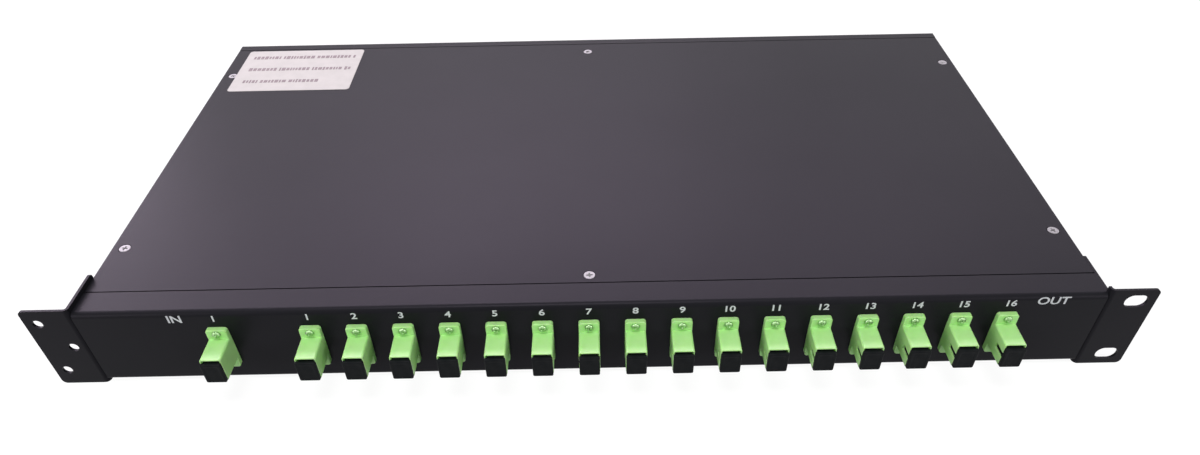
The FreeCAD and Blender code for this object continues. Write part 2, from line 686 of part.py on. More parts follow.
def make_inner_connectors():
    """The plugs behind the panel: ferrule in the sleeve, square grip, tapered boot."""
    grip_start = "(Dim.barrelRear + Dim.gripGap)"
    plugs = []
    for port, x in PORTS.items():
        ferrule = cylinder(f"ferrule_{port}", "Dim.sleeveInner / 2", "Dim.barrelRear + Dim.ferruleReach",
                           (x, "0", "Dim.portZ"), BACK)
        grip = block(f"grip_{port}", ("Dim.plugWide", "Dim.gripLong", "Dim.plugHigh"),
                     (f"{x} - Dim.plugWide / 2", grip_start, "Dim.portZ - Dim.plugHigh / 2"))
        boot = doc.addObject("Part::Cone", f"boot_{port}")
        boot.setExpression("Radius1", "Dim.bootBase / 2")
        boot.setExpression("Radius2", "Dim.bootTip / 2")
        boot.setExpression("Height", f"Dim.bootEnd - {grip_start} - Dim.gripLong")
        boot.Placement.Rotation = Rotation(UP, BACK)
        for axis, expression in zip("xyz", (x, f"{grip_start} + Dim.gripLong", "Dim.portZ")):
            boot.setExpression(f".Placement.Base.{axis}", expression)
        plugs.append(fuse(f"plug_{port}", [ferrule, grip, boot]))
    group("inner_connectors", plugs)


def make_pigtails():
    """A straight tail from each boot back to the face of the fibre loop."""
    tails = []
    for port, x in PORTS.items():
        beyond = f"max(abs({x}) - Dim.loopHalf; 0)"
        loop_face = f"(Dim.loopCentreY - sqrt(Dim.loopRadius ^ 2 - ({beyond}) ^ 2))"
        tails.append(cylinder(f"tail_{port}", "Dim.fibre / 2", f"{loop_face} - Dim.bootEnd - Dim.insideGap",
                              (x, "Dim.bootEnd", "Dim.portZ"), BACK))
    group("pigtails", tails)


def make_fibre_loop():
    """The spare fibre, wound as one long loop, as a closed band of its outer shape."""
    body = new_body("fibre_loop")
    band = new_sketch(body, "XY_Plane", "loopBand", "Dim.portZ - Dim.loopHigh / 2")
    for inset in ("0", "Dim.loopThick"):
        radius = f"(Dim.loopRadius - {inset})"
        add_slot(band, "0", "Dim.loopCentreY", f"2 * (Dim.loopHalf + {radius})", f"2 * {radius}")
    pad(body, band, "Dim.loopHigh")


def make_fibre_clips():
    """Posts on the floor, each between two ports, with jaws that hold the straight runs of the loop."""
    clips = []
    loop_low = "Dim.portZ - Dim.loopHigh / 2"
    for row, sign in (("front", "-"), ("back", "+")):
        middle = f"Dim.loopCentreY {sign} (Dim.loopRadius - Dim.loopThick / 2)"
        near = f"{middle} - Dim.clipDeep / 2"
        far = f"{middle} + Dim.clipDeep / 2 - Dim.clipJaw"
        for index in range(3):
            left = (f"Dim.firstOutputX + ({index} * Dim.clipSpacing + 1 / 2) * Dim.portPitch"
                    " - Dim.clipWide / 2")
            post_size = ("Dim.clipWide", "Dim.clipDeep", f"{loop_low} - ({FLOOR})")
            jaw_size = ("Dim.clipWide", "Dim.clipJaw", "Dim.loopHigh")
            pieces = [block(f"{row}Post{index}", post_size, (left, near, FLOOR))]
            for jaw, place in enumerate((near, far)):
                pieces.append(block(f"{row}Jaw{index}{jaw}", jaw_size, (left, place, loop_low)))
            clips.append(fuse(f"{row}Clip{index}", pieces))
    group("fibre_clips", clips)


def make_splitter():
    """The splitter chip's steel module on a holder, with its leads running out to the loop."""
    near, far = "Dim.loopCentreY - Dim.moduleDeep / 2", "Dim.loopCentreY + Dim.moduleDeep / 2"
    module_low, module_high = "Dim.portZ - Dim.moduleHigh / 2", "Dim.portZ + Dim.moduleHigh / 2"
    module = new_body("splitter_module")
    section = new_sketch(module, "YZ_Plane", "moduleSection")
    add_rectangle(section, near, far, module_low, module_high, "Dim.moduleCorner")
    pad(module, section, "Dim.moduleLong", both=True)

    holder = new_body("module_holder")
    cradle = new_sketch(holder, "YZ_Plane", "holderSection")
    toe, foot_top = "(Dim.holderWall + Dim.holderFoot)", f"{FLOOR} + Dim.holderWall"
    lip = f"{module_high} - Dim.holderLip"
    add_outline(cradle, [
        (f"{near} - {toe}", FLOOR), (f"{far} + {toe}", FLOOR), (f"{far} + {toe}", foot_top),
        (f"{far} + Dim.holderWall", foot_top), (f"{far} + Dim.holderWall", lip), (far, lip),
        (far, module_low), (near, module_low), (near, lip), (f"{near} - Dim.holderWall", lip),
        (f"{near} - Dim.holderWall", foot_top), (f"{near} - {toe}", foot_top),
    ])
    pad(holder, cradle, "Dim.holderLong", both=True)

    half_module = "Dim.moduleLong / 2"
    reach = f"Dim.loopHalf + Dim.loopRadius - Dim.loopThick - {half_module} - Dim.insideGap"
    input_lead = cylinder("inputLead", "Dim.fibre / 2", reach,
                          (f"-{half_module}", "Dim.loopCentreY", "Dim.portZ"), LEFT)
    ribbon = block("outputRibbon", (reach, "Dim.ribbonWide", "Dim.fibre"),
                   (half_module, "Dim.loopCentreY - Dim.ribbonWide / 2", "Dim.portZ - Dim.fibre / 2"))
    group("module_leads", [input_lead, ribbon])


# ---------------------------------------------------------------- build
make_chassis()
make_cover()
make_label()
make_ear("left_ear", "left", EAR_HOLES, False, EAR_SLOTS, "Dim.shortLeg", cut_down=False)
make_ear("right_ear", "right", EAR_SLOTS, True, EAR_HOLES, "Dim.longLeg", cut_down=True)
for port, x in PORTS.items():
    make_adapter(f"adapter_{port}", x)
    make_cap(f"dust_cap_{port}", x)
make_cover_screws()
make_ear_screws()
make_adapter_screws()
make_sleeves()
make_inner_connectors()
make_pigtails()
make_fibre_loop()
make_fibre_clips()
make_splitter()
doc.recompute()

NODES = ["chassis_tray", "top_cover", "cover_label", "left_ear", "right_ear"]
NODES += [f"adapter_{port}" for port in PORTS] + [f"dust_cap_{port}" for port in PORTS]
NODES += ["cover_screws", "ear_screws", "adapter_screws", "alignment_sleeves", "inner_connectors",
          "pigtails", "fibre_loop", "fibre_clips", "splitter_module", "module_holder", "module_leads"]

for thing in doc.Objects:
    if "Invalid" in thing.State or "Error" in thing.State:
        raise RuntimeError(f"{thing.Name} did not build: {thing.State}")
os.makedirs("parts", exist_ok=True)
for name in NODES:
    shape = doc.getObject(name).Shape
    if shape.isNull() or not shape.isValid():
        raise RuntimeError(f"{name} has no valid shape")
    shape.exportStep(f"parts/{name}.step")
print(len(NODES), "sub-parts written")
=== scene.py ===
import math
import random

import bmesh
import bpy
from mathutils import Matrix, Vector


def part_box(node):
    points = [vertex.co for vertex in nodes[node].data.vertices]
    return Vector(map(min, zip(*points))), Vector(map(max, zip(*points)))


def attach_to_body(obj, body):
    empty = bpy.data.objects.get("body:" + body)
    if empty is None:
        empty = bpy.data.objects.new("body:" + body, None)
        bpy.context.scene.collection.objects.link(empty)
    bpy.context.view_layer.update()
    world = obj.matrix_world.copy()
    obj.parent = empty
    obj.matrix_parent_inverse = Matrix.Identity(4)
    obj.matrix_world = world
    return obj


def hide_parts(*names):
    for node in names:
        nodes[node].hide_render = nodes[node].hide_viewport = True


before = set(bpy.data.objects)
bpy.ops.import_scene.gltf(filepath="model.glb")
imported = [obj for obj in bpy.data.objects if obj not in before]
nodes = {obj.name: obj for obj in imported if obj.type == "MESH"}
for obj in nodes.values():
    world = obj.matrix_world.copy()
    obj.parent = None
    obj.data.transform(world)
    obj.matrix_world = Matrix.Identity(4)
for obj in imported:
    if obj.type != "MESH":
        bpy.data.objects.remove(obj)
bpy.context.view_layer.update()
mm = 0.001
ports = ["in"] + [f"{number:02d}" for number in range(1, 17)]
print("frame loaded:", len(nodes), "nodes")


# where the main faces are, read from the frame
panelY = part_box("left_ear")[0].y  # front face of the chassis and of the ears
portX = {port: (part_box(f"adapter_{port}")[0].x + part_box(f"adapter_{port}")[1].x) / 2 for port in ports}
portZ = (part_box("adapter_in")[0].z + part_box("adapter_in")[1].z) / 2


# materials: each starts from a Principled shader, whose even values are on its own sockets
def addNoise(tree, where, size, detail, stretch=None):
    if stretch:  # the features are longer where the stretch is smaller
        mapping = tree.nodes.new("ShaderNodeMapping")
        mapping.inputs["Scale"].default_value = stretch
        tree.links.new(where, mapping.inputs["Vector"])
        where = mapping.outputs["Vector"]
    noise = tree.nodes.new("ShaderNodeTexNoise")
    noise.inputs["Scale"].default_value = 1 / size
    noise.inputs["Detail"].default_value = detail
    tree.links.new(where, noise.inputs["Vector"])
    return noise.outputs["Fac"]


def addRange(tree, value, low, high, fromLow=0.35, fromHigh=0.65):  # most of a noise lies between these two
    node = tree.nodes.new("ShaderNodeMapRange")
    for socket, number in (("From Min", fromLow), ("From Max", fromHigh), ("To Min", low), ("To Max", high)):
        node.inputs[socket].default_value = number
    tree.links.new(value, node.inputs["Value"])
    return node.outputs["Result"]


def addMix(tree, factor, first, second):
    node = tree.nodes.new("ShaderNodeMix")
    node.data_type = "RGBA"
    tree.links.new(factor, node.inputs["Factor"])
    for socket, colour in (("A", first), ("B", second)):
        target = [i for i in node.inputs if i.name == socket and i.type == "RGBA"][0]
        target.default_value = (*colour, 1)
    return [o for o in node.outputs if o.type == "RGBA"][0]


def addBump(tree, shader, layers):
    normal = None
    for height, depth in layers:  # depth is the height of the relief in metres
        bump = tree.nodes.new("ShaderNodeBump")
        bump.inputs["Strength"].default_value = 1.0
        bump.inputs["Distance"].default_value = depth
        tree.links.new(height, bump.inputs["Height"])
        if normal:
            tree.links.new(normal, bump.inputs["Normal"])
        normal = bump.outputs["Normal"]
    tree.links.new(normal, shader.inputs["Normal"])


def grainedFinish(name, s, even=None):  # cloudy colour, and a fine grain in the gloss and in the surface
    material = bpy.data.materials.new(name)
    material.use_nodes = True
    tree = material.node_tree
    shader = tree.nodes["Principled BSDF"]
    for socket, value in (even or {}).items():
        shader.inputs[socket].default_value = value
    where = tree.nodes.new("ShaderNodeTexCoord").outputs["Object"]
    clouds = addRange(tree, addNoise(tree, where, s["cloud"], s.get("cloudDetail", 4.0)), 0.0, 1.0)
    grain = addNoise(tree, where, s["grain"], s.get("grainDetail", 2.0), s.get("stretch"))
    gloss = clouds if s.get("patchyGloss") else grain
    tree.links.new(addMix(tree, clouds, s["dark"], s["light"]), shader.inputs["Base Color"])
    tree.links.new(addRange(tree, gloss, *s["roughness"]), shader.inputs["Roughness"])
    layers = [(grain, s["grainDepth"])]
    if "peel" in s:  # the wider waves under the grain of a sprayed coat
        layers.insert(0, (addNoise(tree, where, s["peel"], 1.0), s["peelDepth"]))
    addBump(tree, shader, layers)
    return material


blackPaint = grainedFinish("blackPowderCoat", {
    "dark": (0.0068, 0.0072, 0.0086), "light": (0.0088, 0.0092, 0.0108), "cloud": 90 * mm,
    "roughness": (0.33, 0.42), "grain": 0.5 * mm, "grainDetail": 3.0, "grainDepth": 0.010 * mm,
    "peel": 2.2 * mm, "peelDepth": 0.015 * mm,
}, {"Specular IOR Level": 0.085, "Specular Tint": (0.91, 0.80, 1.0, 1)})
greenPlastic = grainedFinish("mouldedGreen", {
    "dark": (0.415, 0.790, 0.265), "light": (0.450, 0.825, 0.300), "cloud": 6 * mm, "cloudDetail": 3.0,
    "roughness": (0.30, 0.40), "grain": 0.25 * mm, "grainDepth": 0.004 * mm,
}, {"Specular IOR Level": 0.5, "Subsurface Weight": 0.4, "Subsurface Radius": (1.0, 1.6, 0.5),
    "Subsurface Scale": 1.6 * mm})
blackPlastic = grainedFinish("mouldedBlack", {
    "dark": (0.005, 0.006, 0.007), "light": (0.009, 0.010, 0.011), "cloud": 3 * mm, "roughness": (0.42, 0.58),
    "grain": 0.2 * mm, "grainDepth": 0.006 * mm,
}, {"Specular IOR Level": 0.06})
steel = grainedFinish("platedSteel", {
    "dark": (0.205, 0.20, 0.205), "light": (0.30, 0.295, 0.30), "cloud": 1.2 * mm, "roughness": (0.5, 0.66),
    "patchyGloss": True, "grain": 0.12 * mm, "grainDepth": 0.004 * mm,
}, {"Metallic": 1.0})
flangeScrewSteelPaintedReflection = grainedFinish("flangeScrewSteelPaintedReflection", {  # its green colour is a painted reflection of the green flange round it
    "dark": (0.24, 0.40, 0.18), "light": (0.38, 0.58, 0.30), "cloud": 1.2 * mm, "roughness": (0.30, 0.42),
    "patchyGloss": True, "grain": 0.12 * mm, "grainDepth": 0.004 * mm,
}, {"Metallic": 1.0})
paper = grainedFinish("labelPaper", {
    "dark": (0.460, 0.455, 0.425), "light": (0.490, 0.482, 0.452), "cloud": 5 * mm, "roughness": (0.6, 0.75),
    "grain": 0.3 * mm, "grainDetail": 4.0, "stretch": (1.0, 2.5, 1.0), "grainDepth": 0.01 * mm,
}, {"Specular IOR Level": 0.1})
ceramic = grainedFinish("whiteCeramic", {
    "dark": (0.78, 0.76, 0.72), "light": (0.84, 0.83, 0.80), "cloud": 1 * mm, "roughness": (0.1, 0.2),
    "grain": 0.1 * mm, "grainDepth": 0.002 * mm})
yellow = grainedFinish("yellowJacket", {
    "dark": (0.75, 0.55, 0.05), "light": (0.82, 0.62, 0.08), "cloud": 4 * mm, "roughness": (0.4, 0.55),
    "grain": 0.3 * mm, "grainDepth": 0.01 * mm})
palePlastic = grainedFinish("palePlastic", {
    "dark": (0.62, 0.62, 0.58), "light": (0.70, 0.70, 0.66), "cloud": 4 * mm, "roughness": (0.35, 0.5),
    "grain": 0.3 * mm, "grainDepth": 0.006 * mm})
whiteInk = grainedFinish("whiteInk", {
    "dark": (0.60, 0.62, 0.66), "light": (0.76, 0.78, 0.80), "cloud": 0.8 * mm, "roughness": (0.5, 0.7),
    "grain": 0.15 * mm, "grainDepth": 0.01 * mm})
darkInk = grainedFinish("darkInk", {
    "dark": (0.13, 0.10, 0.105), "light": (0.22, 0.18, 0.18), "cloud": 0.6 * mm, "roughness": (0.5, 0.7),
    "grain": 0.15 * mm, "grainDepth": 0.004 * mm})

finishes = {
    "chassis_tray": blackPaint, "top_cover": blackPaint, "left_ear": blackPaint, "right_ear": blackPaint,
    "cover_label": paper, "cover_screws": steel, "ear_screws": steel, "adapter_screws": steel,
    "alignment_sleeves": ceramic, "inner_connectors": greenPlastic, "pigtails": yellow,
    "fibre_loop": yellow, "fibre_clips": palePlastic, "splitter_module": steel,
    "module_holder": palePlastic, "module_leads": yellow,
}
for port in ports:
    finishes[f"adapter_{port}"] = greenPlastic
    finishes[f"dust_cap_{port}"] = blackPlastic
for name, node in nodes.items():
    node.data.materials.clear()
    node.data.materials.append(finishes[name])
print("materials made and assigned")


# shapes: closed forms lofted through rings, each a rounded rectangle with the same number of points
def addObject(name, data):
    thing = bpy.data.objects.new(name, data)
    bpy.context.scene.collection.objects.link(thing)
    return thing


def newPiece(name, form):
    mesh = bpy.data.meshes.new(name)
    form.to_mesh(mesh)
    form.free()
    return addObject(name, mesh)


def attach(piece, body, node=None):
    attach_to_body(piece, body)
    if node:
        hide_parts(node)


def ringPoints(wide, high, radius, forward, lift, steps):
    radius = min(radius, wide / 2, high / 2)
    points = []
    for turn, (right, up) in enumerate(((1, 1), (-1, 1), (-1, -1), (1, -1))):
        centre = Vector((right * (wide / 2 - radius), -forward, up * (high / 2 - radius) + lift))
        for step in range(steps + 1):
            angle = math.pi / 2 * (turn + step / steps)
            points.append(centre + Vector((math.cos(angle), 0, math.sin(angle))) * radius)
    return points


def circle(size, forward, rounding=0):  # a station is (wide, high, radius, forward, lift, rounding)
    return size, size, size / 2, forward, 0, rounding


def roundEdges(stations, closed):  # turns each station with a rounding into five rings on a curve
    rings = []
    for index, station in enumerate(stations):
        here = Vector(station[:5])
        rounding = station[5]
        if not rounding or (not closed and index in (0, len(stations) - 1)):
            rings.append(here)
            continue
        before, after = (Vector(stations[(index + side) % len(stations)][:5]) for side in (-1, 1))
        ends = []
        for other in (before, after):
            way = other - here
            reach = max(abs(way[0]) / 2, abs(way[1]) / 2, abs(way[3]))
            ends.append(here + way * min(rounding / reach, 0.5))
        for part in (0.0, 0.25, 0.5, 0.75, 1.0):
            rings.append(ends[0] * (1 - part) ** 2 + here * 2 * part * (1 - part) + ends[1] * part ** 2)
    return rings


def loft(name, stations, closed=False, steps=6):
    form = bmesh.new()
    rows = [[form.verts.new(point * mm) for point in ringPoints(*ring, steps)]
            for ring in roundEdges(stations, closed)]
    pairs = list(zip(rows, rows[1:]))
    if closed:
        pairs.append((rows[-1], rows[0]))
    else:
        form.faces.new(rows[0])
        form.faces.new(rows[-1])
    for first, second in pairs:
        for here in range(len(first)):
            there = (here + 1) % len(first)
            form.faces.new((first[here], first[there], second[there], second[here]))
    bmesh.ops.recalc_face_normals(form, faces=form.faces)
    return newPiece(name, form)


def block(name, low, high):  # a cutter from corner to corner, in millimetres
    form = bmesh.new()
    bmesh.ops.create_cube(form, size=1)
    for vertex in form.verts:
        vertex.co = Vector([(low[i] if vertex.co[i] < 0 else high[i]) * mm for i in range(3)])
    return newPiece(name, form)


def crossCutter(name, half, thick, deep, forward):  # a tapered cross, its wide end in front
    s = {"above": 0.1, "frontShare": 1.15, "backShare": 0.45, "evenThick": 0.4, "taperedThick": 0.6}
    form = bmesh.new()
    rows = []
    for share, height in ((s["frontShare"], forward + s["above"]), (s["backShare"], forward - deep)):
        long, wide = half * share, thick / 2 * (s["evenThick"] + s["taperedThick"] * share)
        row, quarter = [], [(wide, wide), (wide, long), (-wide, long)]
        for turn in range(4):
            row += [form.verts.new(Vector((x, -height, z)) * mm) for x, z in quarter]
            quarter = [(-z, x) for x, z in quarter]
        rows.append(row)
        form.faces.new(row)
    for here in range(len(rows[0])):
        there = (here + 1) % len(rows[0])
        form.faces.new((rows[0][here], rows[0][there], rows[1][there], rows[1][here]))
    bmesh.ops.recalc_face_normals(form, faces=form.faces)
    return newPiece(name, form)


def bake(piece):  # puts what the modifiers make into the mesh
    bpy.context.view_layer.update()
    mesh = bpy.data.meshes.new_from_object(piece.evaluated_get(bpy.context.evaluated_depsgraph_get()))
    piece.modifiers.clear()
    piece.data = mesh


def combine(piece, others, operation):
    for other in others:
        modifier = piece.modifiers.new(operation.lower(), "BOOLEAN")
        modifier.operation = operation
        modifier.solver = "EXACT"
        modifier.object = other
    bake(piece)
    for other in others:
        bpy.data.objects.remove(other)


def finishShape(piece, material, edge=0.0):  # rounds the edges that the cuts left, then shades evenly
    s = {"cutAngle": 60, "sharpAngle": 32, "segments": 2}
    if edge:
        bevel = piece.modifiers.new("edges", "BEVEL")
        bevel.width = edge * mm
        bevel.segments = s["segments"]
        bevel.limit_method = "ANGLE"
        bevel.angle_limit = math.radians(s["cutAngle"])
        bevel.harden_normals = False
        bake(piece)
    for face in piece.data.polygons:
        face.use_smooth = True
    piece.data.set_sharp_from_angle(angle=math.radians(s["sharpAngle"]))
    weighted = piece.modifiers.new("weighted", "WEIGHTED_NORMAL")
    weighted.keep_sharp = True
    bake(piece)
    piece.data.materials.clear()
    piece.data.materials.append(material)


def nodeSolids(name):  # the box of each separate solid of a node, from left to right
    s = {"merge": 0.01 * mm, "digits": 5}
    form = bmesh.new()
    form.from_mesh(nodes[name].data)
    bmesh.ops.remove_doubles(form, verts=form.verts, dist=s["merge"])
    seen, boxes = set(), []
    for start in form.verts:
        if start in seen:
            continue
        stack, island = [start], []
        seen.add(start)
        while stack:
            vertex = stack.pop()
            island.append(nodes[name].matrix_world @ vertex.co)
            for edge in vertex.link_edges:
                other = edge.other_vert(vertex)
                if other not in seen:
                    seen.add(other)
                    stack.append(other)
        low, high = (Vector([pick(point[i] for point in island) for i in range(3)]) for pick in (min, max))
        boxes.append((low, high))
    form.free()
    return sorted(boxes, key=lambda box: tuple(round(value, s["digits"]) for value in box[0]))


def joinAll(name, pieces, material):
    bpy.context.view_layer.update()
    form = bmesh.new()
    for piece in pieces:
        copy = piece.data.copy()
        copy.transform(piece.matrix_world)
        form.from_mesh(copy)
        bpy.data.meshes.remove(copy)
    joined = newPiece(name, form)
    joined.data.materials.append(material)
    for piece in pieces:
        bpy.data.objects.remove(piece)
    return joined


def copyToPorts(shape, name, bodies, nodeName):  # one copy at each port, on that port's body
    for port in ports:
        piece = addObject(f"{name}_{port}", shape.data)
        piece.location = (portX[port], panelY, portZ)
        attach(piece, bodies[port], f"{nodeName}_{port}")
    bpy.data.objects.remove(shape)


# adapters: the sizes are the node's, and the edges get the small roundings of a moulding
def makeAdapters():
    s = {"wide": 9.0, "high": 12.4, "corner": 0.9, "front": 15.0, "rear": 13.4,
         "cavityWide": 7.4, "cavityHigh": 9.2, "cavityCorner": 0.1,
         "mouthWide": 7.9, "mouthHigh": 11.2, "mouthCorner": 0.35, "mouthDeep": 1.4,
         "webFront": 1.6, "webRear": 0.4, "barrel": 4.8, "bore": 3.2, "barrelFront": 8.0, "barrelRear": 7.0,
         "keyHigh": 2.8, "keyLong": 6.6, "keyClearOfBore": 1.5, "rimEdge": 0.3, "smallEdge": 0.12}
    f = {"wide": 9.04, "high": 22.5, "thick": 2.4, "corner": 1.3, "edge": 0.4, "faceInset": 2,
         "faceCorner": 0.3, "throatWall": 0.4}  # the flange
    rim, small = s["rimEdge"], s["smallEdge"]
    cavity = (s["cavityWide"], s["cavityHigh"], s["cavityCorner"])
    mouth = (s["mouthWide"], s["mouthHigh"], s["mouthCorner"])
    outside = (s["wide"], s["high"], s["corner"])
    housing = loft("adapterShape", [
        circle(s["bore"], -s["barrelRear"]),
        circle(s["barrel"], -s["barrelRear"], small),
        circle(s["barrel"], -s["webRear"], small),
        (*cavity, -s["webRear"], 0, 0),
        (*cavity, -s["rear"], 0, small),
        (*outside, -s["rear"], 0, rim),
        (*outside, s["front"], 0, rim),
        (*mouth, s["front"], 0, small),
        (*mouth, s["front"] - s["mouthDeep"], 0, small),
        (*cavity, s["front"] - s["mouthDeep"], 0, small),
        (*cavity, s["webFront"], 0, 0),
        circle(s["barrel"], s["webFront"], small),
        circle(s["barrel"], s["barrelFront"], small),
        circle(s["bore"], s["barrelFront"])], closed=True)
    flange = loft("flangeShape", [
        (f["wide"], f["high"], f["corner"], 0, 0, 0),
        (f["wide"], f["high"], f["corner"], f["thick"], 0, f["edge"]),
        (f["wide"] - f["faceInset"], f["high"] - f["faceInset"], f["faceCorner"], f["thick"], 0, 0)])
    throatX, throatZ = s["wide"] / 2 - f["throatWall"], s["high"] / 2 - f["throatWall"]
    throat = block("throat", (-throatX, -f["thick"] - 1, -throatZ), (throatX, 1, throatZ))
    combine(flange, [throat], "DIFFERENCE")
    combine(housing, [flange], "UNION")
    outer, inner, half = -s["wide"], -s["bore"] / 2 - s["keyClearOfBore"], s["keyHigh"] / 2
    front, rear = -s["front"], s["rear"]
    keys = [block("frontKey", (outer, front - 1, -half), (inner, front + s["keyLong"], half)),
            block("rearKey", (outer, rear - s["keyLong"], -half), (inner, rear + 1, half))]
    combine(housing, keys, "DIFFERENCE")
    finishShape(housing, greenPlastic, small)
    copyToPorts(housing, "adapterBody", dict.fromkeys(ports, "box"), "adapter")


def makeCaps():
    s = {"wide": 8.75, "high": 10.6, "drop": 0.6, "thick": 1.5, "corner": 0.7, "start": 15.1, "plugWide": 7.1,
         "plugHigh": 8.9, "plugLong": 9.5, "plugCorner": 0.3, "plugEdge": 0.3, "bore": 5.4, "boreDeep": 8.0,
         "boreEdge": 0.1, "backEdge": 0.15, "edge": 0.35, "dish": 0.12, "dishInsets": (2.2, 3.4),
         "dishCorner": 0.5, "dishEdge": 0.3}
    start, end = s["start"], s["start"] + s["thick"]
    back = start - s["plugLong"]
    plug = (s["plugWide"], s["plugHigh"], s["plugCorner"])
    head = (s["wide"], s["high"], s["corner"])
    dishRim, dishFloor = ((s["wide"] - inset, s["high"] - inset, s["dishCorner"])
                          for inset in s["dishInsets"])
    cap = loft("capShape", [
        circle(s["bore"], back + s["boreDeep"]),
        circle(s["bore"], back, s["boreEdge"]),
        (*plug, back, 0, s["plugEdge"]),
        (*plug, start, 0, 0),
        (*head, start, -s["drop"], s["backEdge"]),
        (*head, end, -s["drop"], s["edge"]),
        (*dishRim, end, -s["drop"], s["dishEdge"]),
        (*dishFloor, end - s["dish"], -s["drop"], 0)])
    finishShape(cap, blackPlastic)
    copyToPorts(cap, "capBody", {port: f"cap_{port}" for port in ports}, "dust_cap")


# screws: each is lofted with its head towards the front, cut with a cross and turned to its place
def screwShape(name, s, material):
    stations = [circle(s["shank"], -s["long"]), circle(s["shank"], s["under"])]
    stations += [circle(2 * radius, forward) for radius, forward in s["head"]]
    screw = loft(name, stations, steps=8)
    cross = crossCutter("cross", s["crossHalf"], s["crossThick"], s["crossDeep"], s["head"][-1][1])
    combine(screw, [cross], "DIFFERENCE")
    finishShape(screw, material, s["edge"])
    return screw


def spread(shape, name, turn, spots):
    s = {"firstTurn": 12, "nextTurn": 37}  # degrees, so that no two crosses stand alike
    copies = []
    for index, spot in enumerate(spots):
        copy = addObject(f"{name}{index}", shape.data)
        spin = Matrix.Rotation(math.radians(s["nextTurn"] * index + s["firstTurn"]), 4, "Y")
        copy.matrix_world = Matrix.Translation(spot) @ turn @ spin
        copies.append(copy)
    return copies


def makeCoverScrews():
    s = {"shank": 3.0, "long": 6.0, "under": -1.1, "head": [(2.56, -0.06), (2.5, 0.0), (2.3, 0.0)],
         "crossHalf": 1.35, "crossThick": 0.75, "crossDeep": 1.0, "edge": 0.06}
    shape = screwShape("coverScrewShape", s, steel)
    spots = [Vector(((low.x + high.x) / 2, (low.y + high.y) / 2, high.z))
             for low, high in nodeSolids("cover_screws")]
    copies = spread(shape, "coverScrew", Matrix.Rotation(math.radians(-90), 4, "X"), spots)
    bpy.data.objects.remove(shape)
    attach(joinAll("coverScrewHeads", copies, steel), "box", "cover_screws")


def makeFlangeScrews():
    s = {"shank": 2.0, "long": 5.4, "under": 0.0, "high": 1.1,
         "head": [(1.75, 0.0), (1.8, 0.1), (1.8, 0.45), (1.66, 0.72), (1.36, 0.93), (0.95, 1.05), (0.5, 1.09)],
         "crossHalf": 0.85, "crossThick": 0.45, "crossDeep": 0.6, "edge": 0.04}
    # the screw heads carry the steel whose green colour is a painted reflection of the flange
    shape = screwShape("flangeScrewShape", s, flangeScrewSteelPaintedReflection)
    spots = [Vector(((low.x + high.x) / 2, low.y + s["high"] * mm, (low.z + high.z) / 2))
             for low, high in nodeSolids("adapter_screws")]
    copies = spread(shape, "flangeScrew", Matrix.Identity(4), spots)
    bpy.data.objects.remove(shape)
    attach(joinAll("flangeScrewHeads", copies, flangeScrewSteelPaintedReflection), "box", "adapter_screws")


def makeEarScrews():
    s = {"shank": 4.0, "long": 8.0, "under": 0.0,
         "head": [(3.3, 0.0), (3.4, 0.15), (3.4, 1.0), (3.2, 1.55), (2.7, 2.0), (1.9, 2.3), (1.0, 2.4)],
         "crossHalf": 1.75, "crossThick": 0.95, "crossDeep": 1.3, "edge": 0.07}
    w = {"outer": 9.0, "inner": 4.2, "thick": 1.0, "edge": 0.15}  # a washer
    shape = screwShape("earScrewShape", s, steel)
    copies = []
    for low, high in nodeSolids("ear_screws"):
        middle = (low + high) / 2
        side = 1 if middle.x > 0 else -1
        outer = high.x if side > 0 else low.x
        turn = Matrix.Rotation(math.radians(90 * side), 4, "Z")  # the head faces away from the chassis
        isWasher = high.x - low.x < 2 * w["thick"] * mm
        rise = w["thick"] if isWasher else s["head"][-1][1]
        spot = Vector((outer - side * rise * mm, middle.y, middle.z))
        if isWasher:
            stations = [circle(w["inner"], 0), circle(w["outer"], 0)]
            stations += [circle(w[rim], w["thick"], w["edge"]) for rim in ("outer", "inner")]
            washer = loft("washer", stations, closed=True, steps=10)
            finishShape(washer, steel)
            washer.matrix_world = Matrix.Translation(spot) @ turn
            copies.append(washer)
        else:
            copies += spread(shape, f"earScrew{len(copies)}_", turn, [spot])
    bpy.data.objects.remove(shape)
    attach(joinAll("earScrewHeads", copies, steel), "box", "ear_screws")


makeAdapters()
makeCaps()
print("adapters and caps made")
makeCoverScrews()
makeFlangeScrews()
makeEarScrews()
print("screws made")


# lettering on the panel, and bars on the label
def addWords(name, words, x, z, height):
    s = {"thick": 0.03 * mm, "lift": 0.02 * mm, "bold": 0.10 * mm, "wider": 1.14, "capitalShare": 0.7}
    curve = bpy.data.curves.new(name, "FONT")
    curve.body = words
    curve.align_x, curve.align_y = "CENTER", "CENTER"
    curve.size = height / s["capitalShare"]
    curve.extrude = s["thick"] / 2
    curve.offset = s["bold"]
    curve.resolution_u = 4
    text = addObject(name + "Curve", curve)
    bpy.context.view_layer.update()
    mesh = bpy.data.meshes.new_from_object(text.evaluated_get(bpy.context.evaluated_depsgraph_get()))
    bpy.data.objects.remove(text)
    mesh.transform(Matrix.Rotation(math.pi / 2, 4, "X") @ Matrix.Diagonal((s["wider"], 1, 1, 1)))
    mesh.transform(Matrix.Translation(Vector((x, panelY - s["lift"] - s["thick"] / 2, z))))
    mesh.materials.clear()
    mesh.materials.append(whiteInk)
    attach(addObject(name, mesh), "box")


def makePanelPrint():
    s = {"numberZ": 38.2 * mm, "numberHeight": 3.3 * mm, "inX": -177.0 * mm, "outX": 197.3 * mm,
         "outZ": 39.2 * mm, "wordHeight": 4.0 * mm}
    for port in ports:
        number = "1" if port == "in" else str(int(port))
        addWords(f"number_{port}", number, portX[port], s["numberZ"], s["numberHeight"])
    addWords("wordIn", "IN", s["inX"], s["numberZ"], s["wordHeight"])
    addWords("wordOut", "OUT", s["outX"], s["outZ"], s["wordHeight"])


